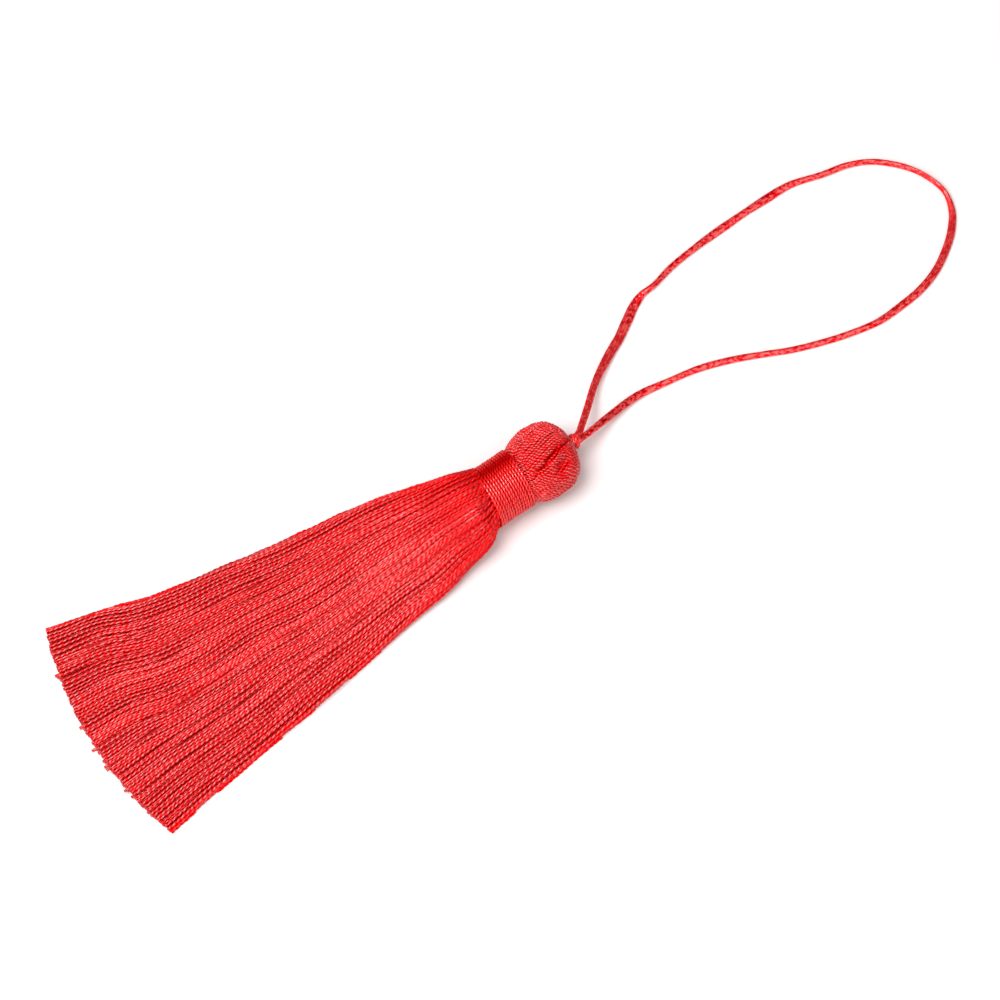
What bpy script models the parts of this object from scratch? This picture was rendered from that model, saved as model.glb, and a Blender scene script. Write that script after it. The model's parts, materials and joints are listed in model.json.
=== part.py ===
"""Silk tassel with a hanging loop, lying on a table.

A hank of twisted silk yarn is folded over the middle of a thin braided cord. A neck binding draws
the hank in under the fold, which rounds it into a head, and below the neck the threads are cut to
one length and fan out over the table. A small wound collar closes the top of the head round the
two legs of the cord, and the cord lies on the table as an open loop.

The tassel's axis lies along X: the loop is towards +X and the cut threads are towards -X. The
origin is the middle of the flat under the head, where the head rests on the table at Z = 0.
"""

from math import cos, exp, pi, radians, sin, sqrt
from typing import NamedTuple

import bmesh
import bpy
import numpy as np
from mathutils import Vector

MM = 0.001
CLEARANCE = 0.3 * MM          # between pieces that touch on the real tassel

# The head, a round knob about 11 mm across. Its front is blunter than a ball.
HEAD_RADIUS = 5.55 * MM
HEAD_HEIGHT = 5.4 * MM        # of the tassel's axis over the table
HEAD_FRONT = 4.85 * MM        # from the widest ring to the collar
HEAD_FRONT_POWER = 2.6        # of the superellipse that rounds the front
HEAD_BACK = 5.9 * MM          # half length of the ellipse that rounds the back
FLAT_BELOW = 0.05 * MM        # the head's underside is pressed flat up to this height
HEAD_SIDES = 48
HEAD_LEAN = -5.5              # degrees round X per millimetre that the folded threads turn

# The neck: a core of yarn inside a wound binding.
NECK_TOP = -3.65 * MM         # the binding's end at the head
BINDING_LENGTH = 6.3 * MM
BINDING_RADIUS = 4.6 * MM
BINDING_WAIST = 0.1 * MM      # how far its middle is drawn in
BINDING_WALL = 0.45 * MM
BINDING_TURNS = 17
BINDING_SIDES = 36
TURN_RELIEF = 0.12 * MM       # depth of the valley between two turns

# The collar at the top of the head.
COLLAR_RADIUS = 1.15 * MM
COLLAR_LENGTH = 1.05 * MM
COLLAR_TURNS = 3
COLLAR_SIDES = 24

# The skirt of loose threads.
COLUMNS = 68                  # threads side by side at the cut edge
ROWS = 3                      # layers of threads
THREAD_FILL = 0.78            # share of its room that a thread takes
SIDE_REACH = 0.96             # share of a section's half width that the threads reach
ROOT_GROOVE = 0.15 * MM       # depth of the grooves that part the threads at their roots
ARC_SOFTNESS = 10.0 * MM      # below this distance the sections are flat, beyond it round
BUNCH_WAVES = (10.3, 6.1, 3.4)    # waves of bunched threads across the skirt, of uneven width
BUNCH_SHIFT = 0.012           # sideways, as a share of the half width
BUNCH_HEIGHT = 0.06           # as a share of the skirt's thickness
LENGTH_SPREAD = 0.18 * MM     # unevenness of the cut
STRAY_SHARE = 0.06            # share of threads that stick out
STRAY_LENGTH = 0.7 * MM

# The hanging loop, a thin braided cord.
CORD_RADIUS = 0.47 * MM
CORD_POINTS = 72


class Section(NamedTuple):
    """A section across the skirt, in millimetres. Heights are over the table."""
    along: float      # distance from the root, measured along the threads
    left: float       # half width towards +Y
    right: float      # half width towards -Y
    crown: float      # top, at the middle
    shoulder: float   # top, at the edges
    belly: float      # underside, at the middle
    hem: float        # underside, at the edges


SKIRT = (
    Section(along=0.0, left=4.6, right=4.6, crown=9.95, shoulder=5.4, belly=0.85, hem=5.4),
    Section(along=1.8, left=5.6, right=5.7, crown=10.2, shoulder=5.3, belly=0.45, hem=4.8),
    Section(along=7.0, left=7.3, right=7.4, crown=7.7, shoulder=3.6, belly=0.0, hem=2.4),
    Section(along=17.0, left=10.0, right=9.5, crown=4.8, shoulder=1.9, belly=0.0, hem=0.7),
    Section(along=36.0, left=13.2, right=12.4, crown=3.0, shoulder=1.2, belly=0.0, hem=0.1),
    Section(along=63.8, left=19.0, right=17.0, crown=2.0, shoulder=0.8, belly=0.0, hem=0.0),
)


class Valley(NamedTuple):
    """A crease between two lobes of the head, where the folded yarn parts. It leans as they do."""
    angle: float      # degrees round X from +Y, at the head's widest ring
    depth: float      # millimetres
    width: float      # degrees
    reach: float      # X at which it has faded out, in millimetres


VALLEYS = (
    Valley(angle=112.5, depth=0.95, width=6.0, reach=-2.2),
    Valley(angle=142.5, depth=0.5, width=8.0, reach=-0.5),
    Valley(angle=-60.0, depth=0.7, width=6.0, reach=0.8),
    Valley(angle=-112.5, depth=0.4, width=8.0, reach=1.2),
)

# The cord's route, in millimetres: out of the collar, down to the table, round the loop and back.
LOOP_ROUTE = (
    (6.7, 0.6, 5.5),
    (8.0, 1.7, 5.4),
    (9.8, 3.2, 5.1),
    (13.6, 6.5, 4.2),
    (18.1, 9.6, 3.0),
    (23.0, 12.6, 1.8),
    (26.1, 14.7, 1.1),
    (27.9, 15.4, 0.9),
    (29.0, 15.4, 0.8),
    (33.2, 16.5, 0.5),
    (38.9, 17.2, 0.5),
    (44.5, 17.6, 0.5),
    (50.0, 18.0, 0.5),
    (55.2, 17.8, 0.5),
    (59.7, 16.7, 0.5),
    (64.4, 15.7, 0.5),
    (67.1, 14.5, 0.5),
    (69.4, 12.7, 0.5),
    (71.3, 10.4, 0.5),
    (72.8, 7.4, 0.5),
    (73.5, 4.5, 0.5),
    (72.7, 1.7, 0.5),
    (70.8, -0.9, 0.5),
    (68.3, -3.1, 0.5),
    (65.3, -4.9, 0.5),
    (61.6, -6.2, 0.5),
    (57.7, -6.7, 0.5),
    (53.9, -7.0, 0.5),
    (49.2, -6.3, 0.5),
    (44.7, -5.1, 0.5),
    (40.5, -3.7, 0.5),
    (36.4, -1.9, 0.5),
    (32.3, -0.3, 0.7),
    (27.8, 0.8, 1.3),
    (22.9, 1.2, 2.4),
    (17.7, 1.3, 3.8),
    (12.1, 0.4, 4.9),
    (8.6, -0.4, 5.3),
    (6.7, -0.6, 5.3),
)

BINDING_END = NECK_TOP - BINDING_LENGTH
CORE_RADIUS = BINDING_RADIUS - BINDING_WAIST - BINDING_WALL - CLEARANCE
ROOT_X = BINDING_END - 0.5 * MM           # the flat from which the loose threads grow
ROOT_RIM = 4.75 * MM
SHOULDER_X = NECK_TOP + CLEARANCE
COLLAR_START = HEAD_FRONT + 0.2 * MM


# ---------------------------------------------------------------- scene and materials

def clear_scene():
    for ob in list(bpy.data.objects):
        bpy.data.objects.remove(ob, do_unlink=True)


def fabric(name, colour, roughness):
    material = bpy.data.materials.new(name)
    material.use_nodes = True
    shader = material.node_tree.nodes["Principled BSDF"]
    shader.inputs["Base Color"].default_value = (*colour, 1.0)
    shader.inputs["Roughness"].default_value = roughness
    shader.inputs["Metallic"].default_value = 0.0
    return material


def add_object(name, data, material, collection):
    ob = bpy.data.objects.new(name, data)
    ob.data.materials.append(material)
    collection.objects.link(ob)
    return ob


# ---------------------------------------------------------------- the skirt of threads

def uneven_cut():
    """How much longer or shorter each thread is than the rest, by column and row."""
    rng = np.random.default_rng(31)
    offset = rng.normal(0.0, LENGTH_SPREAD, (COLUMNS, ROWS))
    stray = rng.random((COLUMNS, ROWS)) < STRAY_SHARE
    return np.clip(offset, -2.0 * LENGTH_SPREAD, 2.0 * LENGTH_SPREAD) + stray * STRAY_LENGTH


def bunching(across, phase):
    """An uneven wave across the skirt, between about -1 and 1."""
    waves = [sin(count * pi * across + phase * count) for count in BUNCH_WAVES]
    return 0.5 * waves[0] + 0.3 * waves[1] + 0.2 * waves[2]


def skirt_point(across, up, level, cut):
    """Place a point of the skirt.

    across runs from -1 at the -Y edge to 1, up from -1 at the underside to 1, and level is the
    number of the section, or -1 for the grooves between the roots. Each section is an arc about
    the neck, as the threads are all as long.
    """
    section = SKIRT[max(level, 0)]
    share = max(level, 0) / (len(SKIRT) - 1)
    # The threads gather into bunches with partings between them, more so towards the cut.
    side = SIDE_REACH * (across + share * BUNCH_SHIFT * bunching(across, 1.0))
    half = section.right + (section.left - section.right) * (side + 1.0) / 2.0
    rounding = sqrt(max(0.0, 1.0 - side * side))
    top = section.shoulder + (section.crown - section.shoulder) * rounding
    top *= 1.0 + share * BUNCH_HEIGHT * bunching(across, 0.4)
    bottom = section.hem + (section.belly - section.hem) * rounding
    along = section.along * MM
    y = half * MM * side
    bow = y * y * along / (2.0 * (along * along + ARC_SOFTNESS * ARC_SOFTNESS))
    if level == len(SKIRT) - 1:
        column = min(int((across + 1.0) / 2.0 * COLUMNS), COLUMNS - 1)
        row = min(int((up + 1.0) / 2.0 * ROWS), ROWS - 1)
        along += cut[column, row]
    if level >= 0:
        along += ROOT_GROOVE
    z = (bottom + (top - bottom) * (up + 1.0) / 2.0) * MM
    return Vector((ROOT_X - along + bow, y, z))


def add_skirt(mesh):
    """Grow the loose threads from a flat root and return the root's outer edges.

    The threads start as a grid of cells. Each cell is inset and drawn out through the sections as
    a straight post, and then every point is moved to its place by skirt_point.
    """
    bmesh.ops.create_grid(mesh, x_segments=COLUMNS, y_segments=ROWS, size=1.0)
    threads = list(mesh.faces)
    bmesh.ops.inset_individual(mesh, faces=threads, thickness=0.1 / COLUMNS)
    outline = [edge for edge in mesh.edges if edge.is_boundary]
    for vert in mesh.verts:
        vert.co.z = -1.0
    for face in threads:
        middle = face.calc_center_median()
        column_half = THREAD_FILL / COLUMNS
        row_half = THREAD_FILL / ROWS
        for vert in face.verts:
            vert.co.x = middle.x + (column_half if vert.co.x > middle.x else -column_half)
            vert.co.y = middle.y + (row_half if vert.co.y > middle.y else -row_half)
            vert.co.z = 0.0
    for level in range(1, len(SKIRT)):
        threads = bmesh.ops.extrude_discrete_faces(mesh, faces=threads)["faces"]
        for face in threads:
            for vert in face.verts:
                vert.co.z = float(level)
    cut = uneven_cut()
    for vert in mesh.verts:
        across, up, level = vert.co
        vert.co = skirt_point(across, up, round(level), cut)
    return outline


# ---------------------------------------------------------------- the head and the neck's core

def head_profile():
    """X and radius of each ring, from the collar over the head and the neck to the root."""
    rings = []
    for angle in (7.0, 25.0, 40.0, 53.0, 65.0, 77.0, 90.0):
        power = 2.0 / HEAD_FRONT_POWER
        rings.append((HEAD_FRONT * max(cos(radians(angle)), 0.0) ** power,
                      HEAD_RADIUS * sin(radians(angle)) ** power))
    for angle in (12.0, 23.0, 33.5):
        rings.append((-HEAD_BACK * sin(radians(angle)), HEAD_RADIUS * cos(radians(angle))))
    rings.append((SHOULDER_X, CORE_RADIUS))
    rings.append((BINDING_END - CLEARANCE, CORE_RADIUS))
    rings.append((BINDING_END - CLEARANCE - 0.02 * MM, ROOT_RIM))
    rings.append((ROOT_X, ROOT_RIM))
    return rings


def valley_depth(x, angle):
    """How far the head is drawn in at x and at this angle, in degrees, round its leaning threads."""
    depth = 0.0
    for valley in VALLEYS:
        away = (angle - valley.angle + 180.0) % 360.0 - 180.0
        fade = min(max((x / MM - valley.reach) / 2.5, 0.0), 1.0)
        depth += valley.depth * MM * fade * exp(-((away / valley.width) ** 2))
    return depth


def add_head(mesh):
    """Loft the head and the neck's core from creased rings, and return the edges of the last."""
    rings = []
    for x, radius in head_profile():
        ring = []
        for side in range(HEAD_SIDES):
            angle = 360.0 * side / HEAD_SIDES
            r = radius
            if x > SHOULDER_X:
                r -= valley_depth(x, angle) * radius / HEAD_RADIUS
                angle += HEAD_LEAN * x / MM
            z = HEAD_HEIGHT + r * sin(radians(angle))
            if z < FLAT_BELOW:
                z = 0.0
            ring.append(mesh.verts.new((x, r * cos(radians(angle)), z)))
        rings.append(ring)
    for front, back in zip(rings, rings[1:]):
        for i in range(HEAD_SIDES):
            mesh.faces.new((front[i - 1], front[i], back[i], back[i - 1]))
    mesh.faces.new(rings[0])
    return [mesh.edges.get((rings[-1][i - 1], rings[-1][i])) for i in range(HEAD_SIDES)]


def build_hank(material, collection):
    """The yarn: head, core and loose threads, all one piece as on the real tassel."""
    mesh = bmesh.new()
    outline = add_skirt(mesh)
    rim = add_head(mesh)
    bmesh.ops.triangle_fill(mesh, edges=outline + rim, use_beauty=True, normal=(-1.0, 0.0, 0.0))
    bmesh.ops.recalc_face_normals(mesh, faces=mesh.faces)
    data = bpy.data.meshes.new("yarn_hank")
    mesh.to_mesh(data)
    mesh.free()
    return add_object("yarn_hank", data, material, collection)


# ---------------------------------------------------------------- the wound pieces

def turned(name, outline, closed, sides, start_x, material, collection):
    """Turn an outline of radius and height round the tassel's axis, its top towards -X."""
    data = bpy.data.meshes.new(name)
    count = len(outline)
    edges = [(i, (i + 1) % count) for i in range(count if closed else count - 1)]
    data.from_pydata([(radius, 0.0, height) for radius, height in outline], edges, [])
    ob = add_object(name, data, material, collection)
    ob.location = (start_x, 0.0, HEAD_HEIGHT)
    ob.rotation_euler = (0.0, -pi / 2.0, 0.0)
    screw = ob.modifiers.new("turn", "SCREW")
    screw.steps = sides
    screw.render_steps = sides
    screw.use_merge_vertices = True
    screw.merge_threshold = 1e-6
    screw.use_smooth_shade = False
    return ob


def build_binding(material, collection):
    """The neck binding: close turns of thread, drawn in a little at the middle."""
    pitch = BINDING_LENGTH / BINDING_TURNS
    outline = []
    for step in range(2 * BINDING_TURNS + 1):
        height = BINDING_LENGTH - step * pitch / 2.0
        from_middle = 2.0 * height / BINDING_LENGTH - 1.0
        radius = BINDING_RADIUS - BINDING_WAIST * (1.0 - from_middle ** 2)
        if step % 2 == 0:
            radius -= TURN_RELIEF
        outline.append((radius, height))
    bore = CORE_RADIUS + CLEARANCE
    outline += [(bore, 0.0), (bore, BINDING_LENGTH)]
    return turned("neck_binding", outline, True, BINDING_SIDES, NECK_TOP, material, collection)


def build_collar(material, collection):
    """The collar: a few turns of thread round the cord, where it leaves the head."""
    pitch = COLLAR_LENGTH / COLLAR_TURNS
    outline = [(0.0, COLLAR_LENGTH)]
    for turn in range(COLLAR_TURNS):
        middle = COLLAR_LENGTH - (turn + 0.5) * pitch
        for part in (-1.0, -0.5, 0.0, 0.5, 1.0):
            bulge = sqrt(1.0 - 0.75 * part * part)
            if part == -1.0 and turn > 0:
                continue
            radius = COLLAR_RADIUS - pitch / 2.0 * (1.0 - bulge)
            outline.append((radius, middle - part * pitch / 2.0))
    outline.append((0.0, 0.0))
    start = COLLAR_START + COLLAR_LENGTH
    return turned("top_collar", outline, False, COLLAR_SIDES, start, material, collection)


# ---------------------------------------------------------------- the hanging loop

def smooth_route(route, count):
    """Points at even spacing on a smooth curve through the route.

    Each span is a cubic whose end slopes come from the neighbouring points, weighted by distance.
    """
    points = np.array(route) * MM
    gaps = np.linalg.norm(np.diff(points, axis=0), axis=1)
    slopes = np.gradient(points, np.concatenate([[0.0], np.cumsum(gaps)]), axis=0)
    t = np.linspace(0.0, 1.0, 24, endpoint=False)[:, None]
    spans = []
    for i, gap in enumerate(gaps):
        start, end = points[i], points[i + 1]
        spans.append((2 * t**3 - 3 * t**2 + 1) * start + (t**3 - 2 * t**2 + t) * gap * slopes[i]
                     + (3 * t**2 - 2 * t**3) * end + (t**3 - t**2) * gap * slopes[i + 1])
    curve = np.vstack([*spans, points[-1:]])
    length = np.concatenate([[0.0], np.cumsum(np.linalg.norm(np.diff(curve, axis=0), axis=1))])
    even = np.linspace(0.0, length[-1], count)
    return np.column_stack([np.interp(even, length, curve[:, axis]) for axis in range(3)])


def build_loop(material, collection):
    """The hanging loop: one cord from the collar round and back to the collar."""
    data = bpy.data.curves.new("hanging_loop", "CURVE")
    data.dimensions = "3D"
    data.bevel_depth = CORD_RADIUS
    data.bevel_resolution = 2
    data.use_fill_caps = True
    spline = data.splines.new("POLY")
    spline.points.add(CORD_POINTS - 1)
    for point, place in zip(spline.points, smooth_route(LOOP_ROUTE, CORD_POINTS)):
        point.co = (*place, 1.0)
    return add_object("hanging_loop", data, material, collection)


def main():
    clear_scene()
    collection = bpy.data.collections.new("silk_tassel")
    bpy.context.scene.collection.children.link(collection)
    yarn = fabric("red_silk_yarn", (0.70, 0.016, 0.020), 0.45)
    binding = fabric("red_binding_thread", (0.66, 0.014, 0.018), 0.38)
    braid = fabric("red_braided_cord", (0.62, 0.016, 0.022), 0.50)
    build_hank(yarn, collection)
    build_binding(binding, collection)
    build_collar(binding, collection)
    build_loop(braid, collection)


main()
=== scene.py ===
# %% [markdown]
# # A silk tassel lying on a white table
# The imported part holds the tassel's shape as plain solids. Here every thread becomes a twisted
# yarn, the neck is wound turn by turn, and the hanging loop becomes a braided cord. A thread is a
# small section carried along a path, and numpy works out a hundred of them as one array.
#
# Lengths are in metres, as Blender has them, so a size in millimetres is written times MM.

# %% Tools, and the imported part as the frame
import json
import math
from functools import partial
from typing import NamedTuple

import bpy
import numpy as np
from mathutils import Matrix, Vector

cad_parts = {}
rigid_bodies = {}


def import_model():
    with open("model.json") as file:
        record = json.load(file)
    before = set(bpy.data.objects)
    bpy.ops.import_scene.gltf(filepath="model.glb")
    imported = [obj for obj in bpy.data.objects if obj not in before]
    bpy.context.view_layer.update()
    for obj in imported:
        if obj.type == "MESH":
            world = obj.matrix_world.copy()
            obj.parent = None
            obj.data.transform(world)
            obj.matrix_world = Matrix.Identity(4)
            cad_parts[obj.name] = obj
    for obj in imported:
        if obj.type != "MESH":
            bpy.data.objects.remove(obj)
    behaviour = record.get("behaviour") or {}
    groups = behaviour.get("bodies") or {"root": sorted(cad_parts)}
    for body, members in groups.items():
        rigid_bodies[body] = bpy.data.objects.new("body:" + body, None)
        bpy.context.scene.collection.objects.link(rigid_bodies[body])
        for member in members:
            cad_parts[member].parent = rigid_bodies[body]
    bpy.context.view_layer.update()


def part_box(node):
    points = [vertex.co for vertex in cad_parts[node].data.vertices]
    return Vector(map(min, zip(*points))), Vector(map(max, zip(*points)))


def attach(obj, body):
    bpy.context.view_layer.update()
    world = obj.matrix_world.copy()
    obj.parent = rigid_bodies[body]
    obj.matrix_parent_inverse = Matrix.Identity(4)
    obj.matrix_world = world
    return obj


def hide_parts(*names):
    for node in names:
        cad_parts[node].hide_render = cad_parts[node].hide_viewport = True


MM = 0.001
scene = bpy.context.scene

for leftover in list(bpy.data.objects):  # a new Blender file comes with a cube and a lamp
    bpy.data.objects.remove(leftover)
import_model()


def into_scene(name, data):
    """A new object with this data, in the scene."""
    thing = bpy.data.objects.new(name, data)
    scene.collection.objects.link(thing)
    return thing


def angles_round(corners):
    """The angles of evenly spaced corners, once round."""
    return 2 * np.pi * np.arange(corners) / corners


# %% Sizes read from the frame
binding_low, binding_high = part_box("neck_binding")
collar_low, collar_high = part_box("top_collar")

NECK_TOP = binding_high.x  # the binding's end at the head
NECK_END = binding_low.x  # the binding's end at the skirt
AXIS_HEIGHT = (binding_high.z + binding_low.z) / 2
BINDING_RADIUS = (binding_high.z - binding_low.z) / 2
AXIS_SIDE = -0.15 * MM  # the tassel's axis at X = 0, a touch to the right
AXIS_TURN = 0.032  # and what it moves to the side for each length along X
COLLAR_RADIUS = (collar_high.z - collar_low.z) / 2
print(f"neck {2 * BINDING_RADIUS / MM:.2f} mm across and {(NECK_TOP - NECK_END) / MM:.2f} long, "
      f"its axis {AXIS_HEIGHT / MM:.2f} mm over the table")

# %% [markdown]
# ## The camera
# The tassel lies on a table and is looked at from high above one side. A long lens at 60 cm keeps
# the perspective slight. The camera's own axes are built from two angles, which is simpler to
# read than three rotations.

# %% Camera
LOOKED_AT = Vector((-6.94, -0.05, 0.0)) * MM  # the point of the table in the picture's middle
CAMERA_TURN = 33.0  # degrees between X and the picture's level line
CAMERA_RISE = 70.0  # degrees over the table
CAMERA_DISTANCE = 600 * MM
PICTURE_WIDTH = 142.2 * MM  # of the table, across the picture
SENSOR = 36.0


def aimed_camera():
    """A camera whose backward axis rises from the table by one angle and is turned by another."""
    turn, rise = math.radians(CAMERA_TURN), math.radians(CAMERA_RISE)
    back = Vector((-math.sin(turn) * math.cos(rise), -math.cos(turn) * math.cos(rise),
                   math.sin(rise)))
    right = Vector((math.cos(turn), -math.sin(turn), 0.0))
    data = bpy.data.cameras.new("camera")
    data.sensor_width = SENSOR
    data.lens = SENSOR * CAMERA_DISTANCE / PICTURE_WIDTH
    data.clip_start, data.clip_end = 0.01, 10.0
    camera = into_scene("camera", data)
    axes = Matrix((right, back.cross(right), back)).transposed().to_4x4()
    camera.matrix_world = Matrix.Translation(LOOKED_AT + back * CAMERA_DISTANCE) @ axes
    return camera


scene.camera = aimed_camera()
print(f"lens {scene.camera.data.lens:.1f} mm")

# %% [markdown]
# ## Curves through points
# The cord's route and the skirt's sections are both given by points. Between them runs a cubic
# whose slopes at the points come from their neighbours, so the curve has no corners.

# %% Smooth curves and even spacing
def smooth_through(knots, values, at):
    """Values at the places `at` on a smooth curve through `values`, which belong to `knots`.

    Each span is a Hermite cubic, a blend of its end values and end slopes, and a slope is the
    change over both neighbouring spans, weighted by their lengths.
    """
    knots, values, at = (np.asarray(a, float) for a in (knots, values, at))
    slopes = np.gradient(values, knots, axis=0)
    span = np.clip(np.searchsorted(knots, at, side="right") - 1, 0, len(knots) - 2)
    gap = knots[span + 1] - knots[span]
    t = (at - knots[span]) / gap
    if values.ndim > 1:
        t, gap = t[..., None], gap[..., None]
    return ((2 * t**3 - 3 * t**2 + 1) * values[span] + (t**3 - 2 * t**2 + t) * gap * slopes[span]
            + (3 * t**2 - 2 * t**3) * values[span + 1] + (t**3 - t**2) * gap * slopes[span + 1])


def distance_along(points):
    """Distance from a path's first point to each point: the running sum of its steps."""
    steps = np.linalg.norm(np.diff(points, axis=-2), axis=-1)
    return np.concatenate([np.zeros_like(steps[..., :1]), np.cumsum(steps, axis=-1)], axis=-1)


def evenly(points, count):
    """`count` points at equal distances along a path of points."""
    run = distance_along(points)
    places = np.linspace(0.0, run[-1], count)
    return np.column_stack([np.interp(places, run, column) for column in points.T])


def unit(vectors):
    """Each vector divided by its own length."""
    return vectors / np.maximum(np.linalg.norm(vectors, axis=-1, keepdims=True), 1e-12)


def ease(x):
    """0 below 0, 1 above 1, and a smooth S between them: three x squared less two x cubed."""
    x = np.clip(x, 0.0, 1.0)
    return x * x * (3 - 2 * x)


# %% [markdown]
# ## Tubes
# Threads, turns and cord are all closed tubes: points on a grid of tube, ring and corner, with
# four-sided faces between the rings and a fan of triangles at each end. Two maps lie on the
# surface. One counts millimetres along the thread and shares round it, for patterns. The other
# spreads the threads side by side over a square, for textures that are painted later.

# %% Tubes from arrays
PATTERN_MAP = "thread"
SHEET_MAP = "OFBake"
PATTERN_SHIFT = 0.37  # turns between the pattern of one tube and of the next
SHEET_MARGIN = 0.02  # on both sides of a tube's strip, as a share of it


def tube_faces(tubes, count, corners):
    """Point numbers of the side faces and of the two fans of every tube.

    Points are numbered by tube, ring and corner, and the fans' middles follow all the others.
    """
    here = np.arange(tubes * count * corners).reshape(tubes, count, corners)
    after = np.roll(here, -1, axis=-1)
    sides = np.stack([here[:, :-1], after[:, :-1], after[:, 1:], here[:, 1:]], axis=-1)
    middle = np.repeat(here.size + np.arange(2 * tubes), corners).reshape(tubes, 2, corners)
    fans = np.stack([middle, np.stack([after[:, 0], here[:, -1]], axis=1),
                     np.stack([here[:, 0], after[:, -1]], axis=1)], axis=-1)
    return sides.reshape(-1, 4), fans.reshape(-1, 3)


def tube_maps(run, corners, twist):
    """The sheet's and the pattern's places for every face corner, in the order of tube_faces.

    The sheet divides the distance along a tube by the longest tube, and stacks the shares round
    them on each other. The pattern has the distance in millimetres and the share of the turn,
    plus the turns of twist where the section itself doesn't turn.
    """
    tubes, count = run.shape
    sides, fans = (tubes, count - 1, corners, 4), (tubes, 2, corners, 3)
    low, high = run[:, :-1, None, None], run[:, 1:, None, None]
    share = np.arange(corners) / corners
    after, half = share + 1.0 / corners, share + 0.5 / corners
    number = np.arange(tubes)[:, None, None, None]
    along, around, tube = (
        np.concatenate([np.broadcast_to(on_side, sides).ravel(),
                        np.broadcast_to(on_fan, fans).ravel()])
        for on_side, on_fan in (
            (np.concatenate([low, low, high, high], axis=-1), run[:, [0, -1], None, None]),
            (np.stack([share, after, after, share], axis=-1),
             np.stack([half, share, after], axis=-1)),
            (number, number)))
    shift = PATTERN_SHIFT * tube * (twist != 0)
    strip = (1 - 2 * SHEET_MARGIN) * around + SHEET_MARGIN
    return (np.column_stack([along / run.max(), (tube + strip) / tubes]),
            np.column_stack([along / MM, around + along * twist + shift]))


def tube_mesh(name, rings, twist=0.0, **shades):
    """A mesh of closed tubes. rings is an array of tube, ring, corner and X, Y, Z.

    twist is the turns a metre that the pattern makes on tubes whose sections don't turn. Each
    shade is a number for every point, broadcast over tube, ring and corner, and is kept as an
    attribute of that name for the materials.
    """
    tubes, count, corners = rings.shape[:3]
    middles = rings[:, [0, -1]].mean(axis=2).reshape(-1, 3)
    points = np.concatenate([rings.reshape(-1, 3), middles])
    sides, fans = tube_faces(tubes, count, corners)
    mesh = bpy.data.meshes.new(name)
    mesh.vertices.add(len(points))
    mesh.vertices.foreach_set("co", points.astype(np.float32).ravel())
    mesh.loops.add(sides.size + fans.size)
    mesh.loops.foreach_set("vertex_index", np.concatenate([sides.ravel(), fans.ravel()]))
    mesh.polygons.add(len(sides) + len(fans))
    starts = np.concatenate([4 * np.arange(len(sides)), sides.size + 3 * np.arange(len(fans))])
    mesh.polygons.foreach_set("loop_start", starts)
    mesh.update(calc_edges=True)
    mesh.polygons.foreach_set("use_smooth", np.arange(len(mesh.polygons)) < len(sides))
    run = distance_along(rings.mean(axis=2))
    for map_name, places in zip((SHEET_MAP, PATTERN_MAP), tube_maps(run, corners, twist)):
        layer = mesh.uv_layers.new(name=map_name)
        layer.uv.foreach_set("vector", places.astype(np.float32).ravel())
    for shade, numbers in shades.items():
        numbers = np.broadcast_to(numbers, rings.shape[:3]).reshape(tubes, -1)
        values = np.concatenate([numbers.ravel(), numbers[:, [0, -1]].ravel()])
        attribute = mesh.attributes.new(shade, "FLOAT", "POINT")
        attribute.data.foreach_set("value", values.astype(np.float32))
    return mesh


# %% [markdown]
# ## Frames along a path
# A ring needs two directions across the path. One is given: outwards from the bundle, or up from
# the table. What of it runs along the path is taken away, and a cross product gives the other.

# %% Directions across a path
def across(centres, outward):
    """Two unit vectors at each ring: to the side, and outwards, both square to the path."""
    ahead = unit(np.gradient(centres, axis=-2))
    out = unit(outward - (outward * ahead).sum(axis=-1, keepdims=True) * ahead)
    return np.cross(out, ahead), out


# %% [markdown]
# ## Silk yarn
# The yarn is two strands twisted round each other. Cut across, it is two circles that touch, and
# the pair turns steadily along the thread, which makes a row of small slanted beads. The grid
# turns with the strands, so eight corners are enough: one on the top of each strand, one in each
# groove and one on each slope between.

# %% Two twisted strands
YARN_RADIUS = 0.262 * MM
YARN_PITCH = -1.72 * MM  # for one whole turn, and below zero because it turns leftwards
HEAD_PITCH = 1.04 * MM  # over the head its turns are shorter, and go the other way
SKIRT_OFFSET = 0.32  # of a strand's middle from the yarn's, as a share of its radius
HEAD_OFFSET = 0.40  # where the yarn is bent over the head, its strands part more
WOUND_OFFSET = 0.20  # and where it is wound tight, less
YARN_CORNERS = 8
PLAIN_CORNERS = 5  # of round yarn
PLAIN_SHARE = 0.86  # of the yarn's radius, where round yarn fills as much room


def two_strands(angle, offset):
    """How far the outline of two touching circles is from the middle, as a share of the radius.

    In the direction `angle` from the line through both middles, it is the offset times the
    cosine, plus the root of the strand's radius squared less the square of the offset times the
    sine.
    """
    strand = 1.0 - offset
    return (offset * np.abs(np.cos(angle))
            + np.sqrt(strand**2 - (offset * np.sin(angle)) ** 2))


def ring_points(centres, side, out, wide, tall):
    """Points at `wide` to the side and `tall` outwards from each ring's centre."""
    return (centres[..., None, :] + wide[..., None] * side[..., None, :]
            + tall[..., None] * out[..., None, :])


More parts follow.
